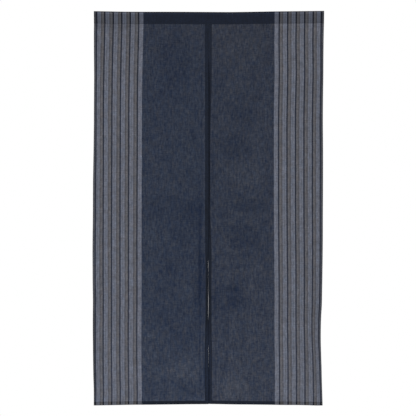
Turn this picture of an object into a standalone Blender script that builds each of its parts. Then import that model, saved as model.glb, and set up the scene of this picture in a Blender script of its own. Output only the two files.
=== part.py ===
"""Noren: a split doorway curtain of two striped cotton panels under one rod pocket.

Metres, +Z up, front towards -Y. The origin is the middle of the top edge, from which it hangs.
Across the curtain, a place is given by its distance from the middle line, outwards on each side.
"""

import math
from collections import namedtuple

import bmesh
import bpy
import numpy as np

# Cloth
CLOTH = 0.0012  # thickness of one layer
LAYERS = 2  # in a hem, which is turned to the back
HEM = 0.0135  # width of the hems along the slit and the bottom
HEM_STEP = 0.001  # width over which a hem's second layer begins
HEM_BEND = 0.004  # width over which the slit's hem turns to the back
GAP = 0.0003  # between one piece and the next
FLAT = 1e-6  # angle, in radians, of cloth that doesn't bend

# Widths of each panel when flat: a striped border outside, then the plain field up to the slit
BORDER = 0.1886
CURL_WIDTH = 0.012  # of the outer edge, which curls further than the border behind it
FIELD = 0.2535
PANEL = BORDER + FIELD

# Heights
DROP = 1.499  # top edge to bottom edge at the outer corners
POCKET_DEPTH = 0.047  # top edge to the pocket's stitched edge

# Rod pocket: a rounded top, from which the front and back layers run straight down to the seam
POCKET_RADIUS = 0.009
POCKET_FOOT = 0.0030  # outer thickness at the stitched edge

# How finely the cloth is divided
POCKET_COLUMNS = 24
ARCH_STEPS = 9
WALL_STEPS = 2
CURL_COLUMNS = 3
BORDER_COLUMNS = 8
FIELD_COLUMNS = 7
HEM_COLUMNS = 2
PANEL_ROWS = 28

# The top edge sags between the corners: x across the whole curtain, and height over its lowest point
Rise = namedtuple("Rise", "across height")
TOP_LINE = [
    Rise(-0.440, 0.0036),
    Rise(-0.300, 0.0014),
    Rise(-0.100, 0.0009),
    Rise(0.070, 0.0000),
    Rise(0.240, 0.0023),
    Rise(0.440, 0.0046),
]
# The bottom edge lifts towards the middle
BOTTOM_LINE = [
    Rise(-0.440, -0.0028),
    Rise(-0.400, -0.0010),
    Rise(-0.185, 0.0022),
    Rise(0.020, 0.0037),
    Rise(0.250, 0.0010),
    Rise(0.390, -0.0010),
    Rise(0.440, -0.0036),
]

# How each panel hangs, by distance below the top edge:
#   border_edge  from the middle line to where the stripes meet the plain field
#   slit_edge    from the middle line to the slit's edge, negative where it has crossed the line
#   back         how far the slit's edge lies behind the curtain's face
#   turn         degrees by which the outer part of the border has turned to the back
#   reach        width of the border, from its outer edge, that has turned
#   bend         width over which the turn builds up, the rest of the reach being straight
#   curl         further degrees by which the outermost edge curls to the back
#   hem_turn     degrees by which the slit's hem turns to the back of its panel
Section = namedtuple("Section", "drop border_edge slit_edge back turn reach bend curl hem_turn")
LEFT_SECTIONS = [
    Section(0.047, 0.2477, -0.0002, 0.0, 0, 0.060, 0.030, 8, 0),
    Section(0.150, 0.2502, -0.0002, 0.0, 13, 0.056, 0.030, 18, 0),
    Section(0.260, 0.2523, -0.0002, 0.0, 25, 0.052, 0.030, 16, 0),
    Section(0.400, 0.2534, -0.0008, 0.0, 27, 0.048, 0.026, 16, 0),
    Section(0.520, 0.2535, -0.0008, 0.0, 24, 0.055, 0.035, 10, 0),
    Section(0.650, 0.2542, -0.0008, 0.0, 18, 0.075, 0.060, 4, 0),
    Section(0.780, 0.2545, -0.0008, 0.0, 17, 0.075, 0.060, 4, 0),
    Section(0.900, 0.2548, -0.0004, 0.0, 12, 0.075, 0.070, 10, 24),
    Section(1.010, 0.2547, -0.0001, 0.0, 9, 0.090, 0.080, 24, 44),
    Section(1.110, 0.2549, 0.0001, 0.0, 14, 0.150, 0.150, 10, 44),
    Section(1.200, 0.2555, -0.0004, 0.0, 14, 0.150, 0.150, 12, 28),
    Section(1.260, 0.2556, -0.0004, 0.0, 14, 0.150, 0.150, 24, 10),
    Section(1.316, 0.2555, 0.0001, 0.0, 13, 0.150, 0.150, 36, 0),
    Section(1.384, 0.2547, -0.0004, 0.0, 14, 0.130, 0.130, 40, 0),
    Section(1.455, 0.2535, -0.0004, 0.0, 16, 0.090, 0.070, 42, 0),
    Section(1.499, 0.2543, -0.0004, 0.0, 14, 0.070, 0.050, 64, 0),
]
RIGHT_SECTIONS = [
    Section(0.047, 0.2524, 0.0006, 0.0000, 0, 0.070, 0.060, 20, 0),
    Section(0.120, 0.2517, 0.0006, 0.0000, 6, 0.070, 0.060, 22, 0),
    Section(0.230, 0.2527, 0.0006, 0.0050, 14, 0.070, 0.060, 30, 0),
    Section(0.310, 0.2513, -0.0015, 0.0055, 14, 0.070, 0.060, 24, 0),
    Section(0.430, 0.2496, -0.0055, 0.0055, 13, 0.060, 0.030, 0, 0),
    Section(0.560, 0.2496, -0.0065, 0.0055, 8, 0.060, 0.030, 4, 0),
    Section(0.760, 0.2498, -0.0065, 0.0060, 14, 0.075, 0.060, 0, 0),
    Section(0.880, 0.2507, -0.0020, 0.0055, 18, 0.080, 0.060, 2, 10),
    Section(0.940, 0.2513, -0.0004, 0.0049, 20, 0.100, 0.083, 6, 21),
    Section(0.968, 0.2515, -0.0001, 0.0047, 21, 0.112, 0.099, 7, 26),
    Section(0.995, 0.2517, -0.0004, 0.0045, 22, 0.120, 0.110, 8, 28),
    Section(1.060, 0.2522, -0.0005, 0.0041, 25, 0.142, 0.140, 6, 29),
    Section(1.115, 0.2523, -0.0002, 0.0040, 27, 0.150, 0.150, 4, 29),
    Section(1.160, 0.2520, -0.0002, 0.0040, 31, 0.140, 0.130, 0, 27),
    Section(1.230, 0.2521, -0.0006, 0.0040, 34, 0.115, 0.090, 0, 18),
    Section(1.285, 0.2528, 0.0002, 0.0040, 36, 0.095, 0.070, 5, 7),
    Section(1.316, 0.2532, -0.0001, 0.0040, 36, 0.085, 0.060, 10, 4),
    Section(1.350, 0.2535, 0.0001, 0.0040, 35, 0.075, 0.050, 15, 9),
    Section(1.400, 0.2537, -0.0004, 0.0040, 33, 0.064, 0.036, 22, 10),
    Section(1.499, 0.2538, -0.0004, 0.0040, 28, 0.050, 0.026, 28, 10),
]

# Broad soft folds: middle of the fold across the panel from its outer edge, half its width, where
# it begins and ends below the top edge, and its depth to the back, negative for a swell forwards
Fold = namedtuple("Fold", "across half_width begins ends depth")
LEFT_FOLDS = [
    Fold(0.120, 0.110, 0.10, 1.15, -0.0050),
    Fold(0.300, 0.120, 0.30, 1.70, -0.0080),
    Fold(0.408, 0.034, 0.74, 1.34, 0.0070),
]
RIGHT_FOLDS = [
    Fold(0.200, 0.100, 0.15, 1.10, -0.0050),
    Fold(0.300, 0.090, 0.20, 1.20, 0.0060),
    Fold(0.340, 0.100, 0.85, 1.75, -0.0090),
]

Finish = namedtuple("Finish", "color roughness")
STRIPED_COTTON = Finish((0.090, 0.100, 0.125, 1.0), 0.9)
POCKET_COTTON = Finish((0.030, 0.034, 0.045, 1.0), 0.9)


def smooth(rows, name, at):
    """The named column of a table at one place in its first column, along a curve with no overshoot."""
    places = np.array([row[0] for row in rows])
    values = np.array([getattr(row, name) for row in rows])
    at = min(max(at, places[0]), places[-1])
    widths = np.diff(places)
    slopes = np.diff(values) / widths
    # The curve is level at each high or low point of the table, and elsewhere takes the gentler slope
    turning = slopes[:-1] * slopes[1:] <= 0
    gentler = np.where(np.abs(slopes[:-1]) < np.abs(slopes[1:]), slopes[:-1], slopes[1:])
    inner = np.where(turning, 0.0, (slopes[:-1] + slopes[1:]) / 2)
    inner = np.sign(inner) * np.minimum(np.abs(inner), 3 * np.abs(gentler))
    tangents = np.concatenate(([slopes[0]], inner, [slopes[-1]]))
    i = min(int(np.searchsorted(places, at, side="right")) - 1, len(widths) - 1)
    t = (at - places[i]) / widths[i]
    start = (1 + 2 * t) * (1 - t) ** 2 * values[i] + t * (1 - t) ** 2 * widths[i] * tangents[i]
    end = t**2 * (3 - 2 * t) * values[i + 1] - t**2 * (1 - t) * widths[i] * tangents[i + 1]
    return start + end


def top_height(x):
    return smooth(TOP_LINE, "height", x) - smooth(TOP_LINE, "height", 0.0)


def bottom_height(x):
    return smooth(BOTTOM_LINE, "height", x) - DROP


def fold_depth(folds, across, drop):
    """Sum of the soft folds at one place of a panel. Each is a raised cosine both ways."""
    depth = 0.0
    for fold in folds:
        aside = abs(across - fold.across) / fold.half_width
        along = abs(2 * drop - fold.begins - fold.ends) / (fold.ends - fold.begins)
        if aside < 1 and along < 1:
            depth += fold.depth * (1 + math.cos(math.pi * aside)) * (1 + math.cos(math.pi * along)) / 4
    return depth


def arc(degrees, width, share):
    """How much shorter and how much further back cloth reaches that bends by that share of an angle."""
    angle = max(math.radians(degrees), FLAT)
    here = angle * min(max(share, 0.0), 1.0)
    return width / angle * (here - math.sin(here)), width / angle * (1 - math.cos(here))


def turned_edge(sections, drop, across):
    """How much narrower and how much further back the border is, where it turns and its edge curls."""
    turn, reach, bend, curl = (smooth(sections, name, drop) for name in ("turn", "reach", "bend", "curl"))
    narrower, back = arc(turn, bend, (reach - across) / bend)
    straight = max(0.0, reach - bend - across)
    shorter, aside = arc(curl, CURL_WIDTH, 1 - across / CURL_WIDTH)
    along, beside = math.cos(math.radians(turn)), math.sin(math.radians(turn))
    narrower += straight * (1 - along) + shorter * along + aside * beside
    back += straight * beside + aside * along - shorter * beside
    return narrower, back


def turned_hem(sections, drop, across):
    """The same at the slit, where the hem turns to the back of its panel."""
    turn = smooth(sections, "hem_turn", drop)
    past = max(0.0, across - PANEL + HEM)
    narrower, back = arc(turn, HEM_BEND, past / HEM_BEND)
    straight = max(0.0, past - HEM_BEND)
    narrower += straight * (1 - math.cos(math.radians(turn)))
    return narrower, back + straight * math.sin(math.radians(turn))


def panel_place(side, sections, folds, across, share):
    """A point of a panel's front face: across from its outer edge, and share of the way down."""
    drop = POCKET_DEPTH + (DROP - POCKET_DEPTH) * share
    border_edge = smooth(sections, "border_edge", drop)
    slit_edge = smooth(sections, "slit_edge", drop)
    inward = max(0.0, across - BORDER) / FIELD
    outward = max(0.0, BORDER - across)
    narrower, turned = turned_edge(sections, drop, across)
    hem_narrower, hem_turned = turned_hem(sections, drop, across)
    hem_loss, _ = turned_hem(sections, drop, PANEL)
    reach_in = slit_edge - hem_loss - border_edge
    x = side * (border_edge + reach_in * inward + hem_narrower + outward - narrower)
    slit_back = smooth(sections, "back", drop) * inward**3
    y = -POCKET_FOOT / 2 + turned + hem_turned + slit_back + fold_depth(folds, across, drop)
    top = top_height(x) - POCKET_DEPTH - GAP
    return x, y, top + (bottom_height(x) - top) * share


def cloth_grid(name, columns, rows, place):
    """A grid of columns by rows points, each moved to its place on the cloth."""
    grid = bmesh.new()
    bmesh.ops.create_grid(grid, x_segments=columns - 1, y_segments=rows - 1, size=0.5)
    for point in grid.verts:
        column = round((point.co.x + 0.5) * (columns - 1))
        row = round((0.5 - point.co.y) * (rows - 1))
        point.co = place(column, row)
    mesh = bpy.data.meshes.new(name)
    grid.to_mesh(mesh)
    grid.free()
    return mesh


def face_front(mesh):
    """Turns the faces over where most of them look to the back."""
    if sum(face.normal.y for face in mesh.polygons) > 0:
        mesh.flip_normals()


def add_object(collection, mesh, finish):
    """Puts the mesh in the collection as an object with a plain material of its own."""
    material = bpy.data.materials.new(mesh.name)
    material.use_nodes = True
    shader = material.node_tree.nodes["Principled BSDF"]
    shader.inputs["Base Color"].default_value = finish.color
    shader.inputs["Roughness"].default_value = finish.roughness
    shader.inputs["Metallic"].default_value = 0.0
    mesh.materials.append(material)
    made = bpy.data.objects.new(mesh.name, mesh)
    collection.objects.link(made)
    return made


def make_panel(collection, name, side, sections, folds):
    """One panel: a sheet hung in its folds, twice as thick in the hems at the slit and the bottom."""
    across = [*np.linspace(0, CURL_WIDTH, CURL_COLUMNS + 1)]
    across += [*np.linspace(CURL_WIDTH, BORDER, BORDER_COLUMNS + 1)[1:]]
    across += [*np.linspace(BORDER, PANEL - HEM - HEM_STEP, FIELD_COLUMNS + 1)[1:]]
    across += [*np.linspace(PANEL - HEM, PANEL - HEM + HEM_BEND, HEM_COLUMNS + 1), PANEL]
    length = DROP - POCKET_DEPTH
    down = [*np.linspace(0, length - HEM - HEM_STEP, PANEL_ROWS + 1), length - HEM, length]

    def place(column, row):
        return panel_place(side, sections, folds, across[column], down[row] / length)

    mesh = cloth_grid(name, len(across), len(down), place)
    face_front(mesh)
    panel = add_object(collection, mesh, STRIPED_COTTON)
    # The grid's points run column by column within each row, from its lowest row up
    hems = panel.vertex_groups.new(name="layers")
    for index in range(len(mesh.vertices)):
        row = len(down) - 1 - index // len(across)
        column = index % len(across)
        in_hem = across[column] >= PANEL - HEM or down[row] >= length - HEM
        hems.add([index], 1.0 if in_hem else 1.0 / LAYERS, "REPLACE")
    thicken = panel.modifiers.new("Cloth thickness", "SOLIDIFY")
    thicken.thickness = CLOTH * LAYERS
    thicken.offset = -1.0
    thicken.vertex_group = hems.name
    return panel


def pocket_profile():
    """The pocket's outer section as (back, down) points, from the foot up the front and down the back."""
    foot = POCKET_FOOT / 2
    centre = POCKET_RADIUS
    lean = math.asin((POCKET_RADIUS - foot) / (POCKET_DEPTH - centre))
    arch = []
    for angle in np.linspace(-lean, math.pi + lean, ARCH_STEPS + 1):
        back = -POCKET_RADIUS * math.cos(angle)
        arch.append((back, centre - POCKET_RADIUS * math.sin(angle)))
    start, end = np.array((-foot, POCKET_DEPTH)), np.array(arch[0])
    wall = [tuple(start + (end - start) * share) for share in np.linspace(0, 1, WALL_STEPS + 1)[:-1]]
    mirrored = [(-back, down) for back, down in reversed(wall)]
    return wall + arch + mirrored


def make_pocket(collection):
    """The rod pocket: the top of both panels turned over to the back and stitched, open at its ends."""
    left_end = -(LEFT_SECTIONS[0].border_edge + BORDER)
    right_end = RIGHT_SECTIONS[0].border_edge + BORDER
    stations = np.linspace(left_end, right_end, POCKET_COLUMNS + 1)
    profile = pocket_profile()
    ring = profile + profile[:1]

    def place(column, row):
        back, down = ring[row]
        return stations[column], back, top_height(stations[column]) - down

    mesh = cloth_grid("rod_pocket", len(stations), len(ring), place)
    tube = bmesh.new()
    tube.from_mesh(mesh)
    bmesh.ops.remove_doubles(tube, verts=tube.verts, dist=GAP / 10)
    highest = max(tube.faces, key=lambda face: face.calc_center_median().z)
    if highest.normal.z < 0:
        bmesh.ops.reverse_faces(tube, faces=tube.faces)
    tube.to_mesh(mesh)
    tube.free()
    pocket = add_object(collection, mesh, POCKET_COTTON)
    thicken = pocket.modifiers.new("Cloth thickness", "SOLIDIFY")
    thicken.thickness = CLOTH
    thicken.offset = -1.0
    thicken.use_even_offset = True
    return pocket


def main():
    for old in list(bpy.data.objects):
        bpy.data.objects.remove(old, do_unlink=True)
    noren = bpy.data.collections.new("noren_curtain")
    bpy.context.scene.collection.children.link(noren)
    make_pocket(noren)
    make_panel(noren, "panel_left", -1, LEFT_SECTIONS, LEFT_FOLDS)
    make_panel(noren, "panel_right", 1, RIGHT_SECTIONS, RIGHT_FOLDS)


main()
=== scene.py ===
import math
from collections import namedtuple
from functools import partial

import bmesh
import bpy
import numpy as np
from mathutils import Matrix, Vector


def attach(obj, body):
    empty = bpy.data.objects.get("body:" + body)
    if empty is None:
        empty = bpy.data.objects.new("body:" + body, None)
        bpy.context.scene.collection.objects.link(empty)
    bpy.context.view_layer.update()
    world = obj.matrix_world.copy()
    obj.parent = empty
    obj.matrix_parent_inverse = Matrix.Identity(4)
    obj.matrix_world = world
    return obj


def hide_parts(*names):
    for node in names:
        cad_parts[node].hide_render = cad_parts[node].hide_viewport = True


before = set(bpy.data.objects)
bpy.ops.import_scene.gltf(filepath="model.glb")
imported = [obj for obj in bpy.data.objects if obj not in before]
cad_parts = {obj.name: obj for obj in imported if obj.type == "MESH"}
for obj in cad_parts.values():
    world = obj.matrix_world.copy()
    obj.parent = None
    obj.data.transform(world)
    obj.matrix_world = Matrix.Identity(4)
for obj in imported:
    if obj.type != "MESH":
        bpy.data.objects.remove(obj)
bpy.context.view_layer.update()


def table(kind, rows):
    """The rows of a table, each with its columns named."""
    return [kind(*row) for row in rows]


# The left panel. One loom width of light cotton, hung by its top: a striped border at the outer
# selvedge, then a plain navy field. The slit edge and the bottom edge are turned to the back and
# stitched down as narrow hems.
CLOTH = 0.0006  # thickness of one layer
PANEL_FACE = -0.0015  # y of the panels' face where they leave the pocket
BORDER = 0.1886  # striped border, flat
CURL_WIDTH = 0.012  # of the selvedge, which curls further than the border behind it
FIELD = 0.2535  # plain field with its hem, flat
PANEL = BORDER + FIELD
HEM = 0.0135
HEM_ROLL = 0.00075  # outer radius of a hem's folded edge
CORNER_ROLL = 0.0016  # the same where the bottom hem folds the slit hem in
CORNER_EASE = 0.020  # width over which the one becomes the other
STITCH_INSET = 0.0018  # stitch line to the turned edge of the hem
HEM_BEND = 0.004  # width over which a hem turns to the back of its panel
DROP = 1.499  # top edge to bottom edge at the outer corners
POCKET_DEPTH = 0.047
LENGTH = DROP - POCKET_DEPTH
LOOSE_BELOW = 0.10  # from here down a panel is free of the pocket's pull
FOOT_EASE = 0.004  # width over which the pocket's stitches let go of it
SEAM_END = 0.174  # the panels are sewn together down to here, from the top edge

# The top edge sags between the corners, and the bottom edge lifts towards the middle
Rise = namedtuple("Rise", "across height")
TOP_LINE = table(Rise, [
    (-0.440, 0.0036),
    (-0.300, 0.0014),
    (-0.100, 0.0009),
    (0.070, 0.0000),
    (0.240, 0.0023),
    (0.440, 0.0046),
])
BOTTOM_LINE = table(Rise, [
    (-0.440, -0.0028),
    (-0.400, -0.0010),
    (-0.185, 0.0022),
    (0.020, 0.0037),
    (0.250, 0.0010),
    (0.390, -0.0010),
    (0.440, -0.0036),
])

# How a panel hangs, by distance below the top edge: where the stripes meet the plain field and where
# the slit's edge is, both from the middle line; how far the slit's edge lies behind the face; by how
# many degrees the outer part has turned to the back, over what width, in which bend; and the further
# degrees by which the selvedge curls, and by which the slit's hem turns to the back
Section = namedtuple("Section", "drop border_edge slit_edge back turn reach bend curl hem_turn")
LEFT_SECTIONS = table(Section, [
    (0.047, 0.2477, -0.0002, 0.0, 0, 0.060, 0.030, 8, 0),
    (0.150, 0.2502, -0.0002, 0.0, 13, 0.056, 0.030, 18, 0),
    (0.260, 0.2523, -0.0002, 0.0, 25, 0.052, 0.030, 16, 0),
    (0.400, 0.2534, -0.0008, 0.0, 27, 0.048, 0.026, 16, 0),
    (0.520, 0.2535, -0.0008, 0.0, 24, 0.055, 0.035, 10, 0),
    (0.650, 0.2542, -0.0008, 0.0, 18, 0.075, 0.060, 4, 0),
    (0.780, 0.2545, -0.0008, 0.0, 17, 0.075, 0.060, 4, 0),
    (0.900, 0.2548, -0.0004, 0.0, 12, 0.075, 0.070, 10, 24),
    (1.010, 0.2547, -0.0001, 0.0, 9, 0.090, 0.080, 24, 44),
    (1.110, 0.2549, 0.0001, 0.0, 14, 0.150, 0.150, 10, 44),
    (1.200, 0.2555, -0.0004, 0.0, 14, 0.150, 0.150, 12, 28),
    (1.260, 0.2556, -0.0004, 0.0, 14, 0.150, 0.150, 24, 10),
    (1.316, 0.2555, 0.0001, 0.0, 13, 0.150, 0.150, 36, 0),
    (1.384, 0.2547, -0.0004, 0.0, 14, 0.130, 0.130, 40, 0),
    (1.455, 0.2535, -0.0004, 0.0, 16, 0.090, 0.070, 42, 0),
    (1.499, 0.2543, -0.0004, 0.0, 14, 0.070, 0.050, 64, 0),
])

# Broad soft folds: middle of the fold across the panel from its outer edge, half its width, where it
# begins and ends below the top edge, and its depth to the back, negative for a swell forwards
Fold = namedtuple("Fold", "across half_width begins ends depth")
LEFT_FOLDS = table(Fold, [
    (0.120, 0.110, 0.10, 1.15, -0.0050),
    (0.300, 0.120, 0.30, 1.70, -0.0080),
    (0.408, 0.034, 0.74, 1.34, 0.0070),
])

# Narrow creases from one place of the panel to another, both across it and down from its top, and by
# what share painted shade darkens them
Crease = namedtuple("Crease", "across down to_across to_down width depth darker")
LEFT_CREASES = table(Crease, [
    (0.280, 1.352, 0.404, 1.424, 0.0060, 0.0016, 0.16),
    (0.372, 1.405, 0.412, 1.436, 0.0045, 0.0014, 0.18),
    (0.300, 0.905, 0.385, 0.975, 0.0160, 0.0016, 0.00),
])

# Shallow hollows and patches of painted shade: middle across and down, half the width and half the height,
# the share by which painted shade darkens them, negative where painted light lightens them, and their depth
# to the back, if any. Swells have a negative depth.
Hollow = namedtuple("Hollow", "across down half_width half_height darker depth", defaults=[0.0])
HOLLOW_RIM = 0.60  # the outer share of its reach, over which a hollow fades
LEFT_HOLLOWS = table(Hollow, [
    (0.310, 0.150, 0.085, 0.170, 0.12, 0.0015),
    (0.394, 0.327, 0.022, 0.050, 0.09),
    (0.387, 0.425, 0.018, 0.045, 0.14, 0.0008),
    (0.352, 0.419, 0.030, 0.055, -0.12),
    (0.425, 0.450, 0.006, 0.450, -0.16),
    (0.330, 0.710, 0.170, 0.062, 0.17, 0.0030),
    (0.395, 0.730, 0.060, 0.070, 0.13, 0.0010),
    (0.330, 0.795, 0.060, 0.060, 0.09, 0.0008),
    (0.395, 0.785, 0.030, 0.050, 0.12),
    (0.262, 0.785, 0.030, 0.050, 0.09),
    (0.292, 0.906, 0.020, 0.080, 0.12, 0.0008),
    (0.352, 0.990, 0.045, 0.130, -0.13, -0.0005),
    (0.330, 1.060, 0.170, 0.300, 0.13, 0.0010),
    (0.407, 0.963, 0.008, 0.220, 0.26, 0.0010),
    (0.4095, 0.760, 0.0070, 0.320, 0.20, 0.0005),
    (0.4165, 0.400, 0.005, 0.500, 0.15),
    (0.4090, 1.225, 0.007, 0.170, 0.19, 0.0004),
    (0.4140, 1.380, 0.006, 0.080, 0.16, 0.0003),
    (0.422, 0.930, 0.006, 0.150, 0.18, 0.0004),
    (0.418, 1.010, 0.026, 0.170, 0.12),
    (0.258, 1.190, 0.080, 0.012, -0.16, -0.0010),
    (0.350, 1.325, 0.085, 0.045, -0.24, -0.0020),
    (0.227, 1.369, 0.040, 0.018, 0.18, 0.0010),
    (0.375, 1.395, 0.060, 0.030, 0.14, 0.0010),
    (0.394, 1.357, 0.022, 0.030, -0.14, -0.0003),
    (0.255, 1.405, 0.080, 0.030, 0.12),
    (0.4265, 1.325, 0.0040, 0.130, 0.34),
    (0.438, 1.300, 0.010, 0.200, -0.26),
    (0.320, 1.447, 0.170, 0.012, 0.14),
    (0.085, 1.4455, 0.120, 0.009, -0.22),
    (0.090, 0.006, 0.110, 0.022, 0.15),
    (0.090, 0.060, 0.130, 0.160, 0.07),
    (0.004, 1.260, 0.009, 0.300, 0.40),
])

Panel = namedtuple("Panel", "side sections folds creases hollows seed")


def smoothly(rows, name, at):
    """The named column of a table at places in its first column, along a curve with no overshoot."""
    places = np.array([row[0] for row in rows])
    values = np.array([getattr(row, name) for row in rows])
    at = np.clip(at, places[0], places[-1])
    widths = np.diff(places)
    slopes = np.diff(values) / widths
    turning = slopes[:-1] * slopes[1:] <= 0
    gentler = np.minimum(np.abs(slopes[:-1]), np.abs(slopes[1:]))
    inner = np.where(turning, 0.0, (slopes[:-1] + slopes[1:]) / 2)
    inner = np.sign(inner) * np.minimum(np.abs(inner), 3 * gentler)
    tangents = np.concatenate(([slopes[0]], inner, [slopes[-1]]))
    i = np.clip(np.searchsorted(places, at, side="right") - 1, 0, len(widths) - 1)
    t = (at - places[i]) / widths[i]
    start = (1 + 2 * t) * (1 - t) ** 2 * values[i] + t * (1 - t) ** 2 * widths[i] * tangents[i]
    end = t**2 * (3 - 2 * t) * values[i + 1] - t**2 * (1 - t) * widths[i] * tangents[i + 1]
    return start + end


def ease(value):
    value = np.clip(value, 0.0, 1.0)
    return value * value * (3 - 2 * value)


def top_height(x):
    return smoothly(TOP_LINE, "height", x) - smoothly(TOP_LINE, "height", np.array(0.0))


def bottom_height(x):
    return smoothly(BOTTOM_LINE, "height", x) - DROP


LEAST_ANGLE = 1e-6  # stands for no bend at all, which can't be divided by


def arc(angle, width, share):
    """How much shorter and how much further back cloth reaches that bends by that share of an angle."""
    angle = np.maximum(angle, LEAST_ANGLE)
    here = angle * np.clip(share, 0.0, 1.0)
    return width / angle * (here - np.sin(here)), width / angle * (1 - np.cos(here))


def turned_edge(sections, drop, across):
    """How much narrower and how much further back the border is, where it turns and its edge curls."""
    turn, curl = (np.radians(smoothly(sections, name, drop)) for name in ("turn", "curl"))
    reach, bend = (smoothly(sections, name, drop) for name in ("reach", "bend"))
    narrower, back = arc(turn, bend, (reach - across) / bend)
    straight = np.maximum(0.0, reach - bend - across)
    shorter, aside = arc(curl, CURL_WIDTH, 1 - across / CURL_WIDTH)
    narrower = narrower + straight * (1 - np.cos(turn)) + shorter * np.cos(turn) + aside * np.sin(turn)
    back = back + straight * np.sin(turn) + aside * np.cos(turn) - shorter * np.sin(turn)
    return narrower, back


def turned_hem(sections, drop, across):
    """The same at the slit, where the hem turns to the back of its panel."""
    turn = np.radians(smoothly(sections, "hem_turn", drop))
    past = np.maximum(0.0, across - PANEL + HEM)
    narrower, back = arc(turn, HEM_BEND, past / HEM_BEND)
    straight = np.maximum(0.0, past - HEM_BEND)
    return narrower + straight * (1 - np.cos(turn)), back + straight * np.sin(turn)


def fold_depth(folds, across, drop):
    """Sum of the soft folds, each a raised cosine both ways."""
    depth = 0.0
    for fold in folds:
        aside = np.clip(np.abs(across - fold.across) / fold.half_width, 0, 1)
        along = np.clip(np.abs(2 * drop - fold.begins - fold.ends) / (fold.ends - fold.begins), 0, 1)
        depth = depth + fold.depth * (1 + np.cos(np.pi * aside)) * (1 + np.cos(np.pi * along)) / 4
    return depth


def crease_sum(creases, name, across, down):
    """Sum of the creases' named column, each a soft trough that fades at both ends."""
    total = 0.0
    for crease in creases:
        run = np.array((crease.to_across - crease.across, crease.to_down - crease.down))
        length = np.hypot(*run)
        step = run / length
        forward = (across - crease.across) * step[0] + (down - crease.down) * step[1]
        aside = (across - crease.across) * step[1] - (down - crease.down) * step[0]
        fade = np.clip(1 - ((2 * forward - length) / length) ** 2, 0, 1)
        total = total + getattr(crease, name) * fade * np.exp(-((aside / crease.width) ** 2))
    return total


# The slight waviness of hung cloth: its usual length and height, the number of waves, by how much their
# crests lean and are drawn out down the cloth, and the range of each one's length and height
Waves = namedtuple("Waves", "length height")
PANEL_WAVES = Waves(0.11, 0.0011)
WAVE_COUNT = 14
WAVE_LEAN = 0.7
DRAWN_OUT = 0.6
LENGTHS = (0.7, 1.9)
HEIGHTS = (0.4, 1.0)


def unevenness(across, down, seed, waves):
    """Sum of long soft waves whose crests run mostly down the cloth."""
    chance = np.random.default_rng(seed)
    total = 0.0
    for _ in range(WAVE_COUNT):
        angle = chance.uniform(-WAVE_LEAN, WAVE_LEAN)
        length = waves.length * chance.uniform(*LENGTHS)
        phase = chance.uniform(0, 2 * np.pi)
        along = across * math.cos(angle) + down * math.sin(angle) * DRAWN_OUT
        total = total + np.sin(2 * np.pi * along / length + phase) * chance.uniform(*HEIGHTS)
    return total * waves.height / math.sqrt(WAVE_COUNT)


# The puckers beside a stitch line: length, height and reach of each, and how their places drift along it
PUCKER_LENGTH = 0.0135
PUCKER_HEIGHT = 0.00028
PUCKER_REACH = 0.007
Drift = namedtuple("Drift", "strength rate")
PUCKER_DRIFTS = [Drift(0.8, 61), Drift(0.6, 143)]
LATEST_START = 6.0


def puckers(along, away, seed):
    """Small waves drawn up by a stitch line: along it, and fading away from it."""
    chance = np.random.default_rng(seed)
    drift = 0.0
    for row in PUCKER_DRIFTS:
        drift = drift + row.strength * np.sin(along * row.rate + chance.uniform(0, LATEST_START))
    wave = np.sin(2 * np.pi * along / PUCKER_LENGTH + drift)
    return PUCKER_HEIGHT * wave * np.exp(-np.abs(away) / PUCKER_REACH)


def hollow_sum(hollows, name, across, down):
    """Sum of the hollows' named column, each even in its middle and fading over its rim."""
    total = 0.0
    for hollow in hollows:
        aside = np.clip(np.abs(across - hollow.across) / hollow.half_width, 0, 1)
        along = np.clip(np.abs(down - hollow.down) / hollow.half_height, 0, 1)
        total = total + getattr(hollow, name) * ease((1 - np.hypot(aside, along)) / HOLLOW_RIM)
    return total


def creases_and_hollows(panel, name, across, down):
    return crease_sum(panel.creases, name, across, down) + hollow_sum(panel.hollows, name, across, down)


def panel_surface(panel, across, down):
    """Points of a panel's face, before its hems are turned, at places across it and down from the pocket."""
    drop = POCKET_DEPTH + down
    border_edge = smoothly(panel.sections, "border_edge", drop)
    slit_edge = smoothly(panel.sections, "slit_edge", drop)
    inward = np.maximum(0.0, across - BORDER) / FIELD
    outward = np.maximum(0.0, BORDER - across)
    narrower, turned = turned_edge(panel.sections, drop, across)
    hem_narrower, hem_turned = turned_hem(panel.sections, drop, across)
    hem_loss, _ = turned_hem(panel.sections, drop, PANEL)
    reach_in = slit_edge - hem_loss - border_edge
    x = panel.side * (border_edge + reach_in * inward + hem_narrower + outward - narrower)
    loose = ease(down / LOOSE_BELOW)
    y = PANEL_FACE + turned + hem_turned + smoothly(panel.sections, "back", drop) * inward**3
    y = y + fold_depth(panel.folds, across, drop)
    dented = creases_and_hollows(panel, "depth", across, down)
    y = y + loose * (unevenness(across, down, panel.seed, PANEL_WAVES) + dented)
    y = y + puckers(down, across - PANEL + HEM, panel.seed + 1) * loose
    y = y + puckers(across, down - LENGTH + HEM, panel.seed + 2)
    y = y + puckers(across, down, panel.seed + 3) * ease(down / FOOT_EASE)
    top = top_height(x) - POCKET_DEPTH
    return np.stack((x, y, top + (bottom_height(x) - top) * down / LENGTH), axis=-1)


def unit(vectors):
    return vectors / np.linalg.norm(vectors, axis=-1, keepdims=True)


def face_and_back(panel, across, down, step=0.0005):
    """Points of a panel's face and the unit direction to its back there."""
    inward = panel_surface(panel, across + step, down) - panel_surface(panel, across - step, down)
    lower = panel_surface(panel, across, down + step) - panel_surface(panel, across, down - step)
    return panel_surface(panel, across, down), unit(np.cross(inward, lower) * -panel.side)


def bottom_roll(across):
    """Outer radius of the bottom hem's fold, larger where it folds the slit's hem in."""
    corner = ease((across - (PANEL - HEM - CORNER_EASE)) / CORNER_EASE)
    return HEM_ROLL + (CORNER_ROLL - HEM_ROLL) * corner


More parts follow.
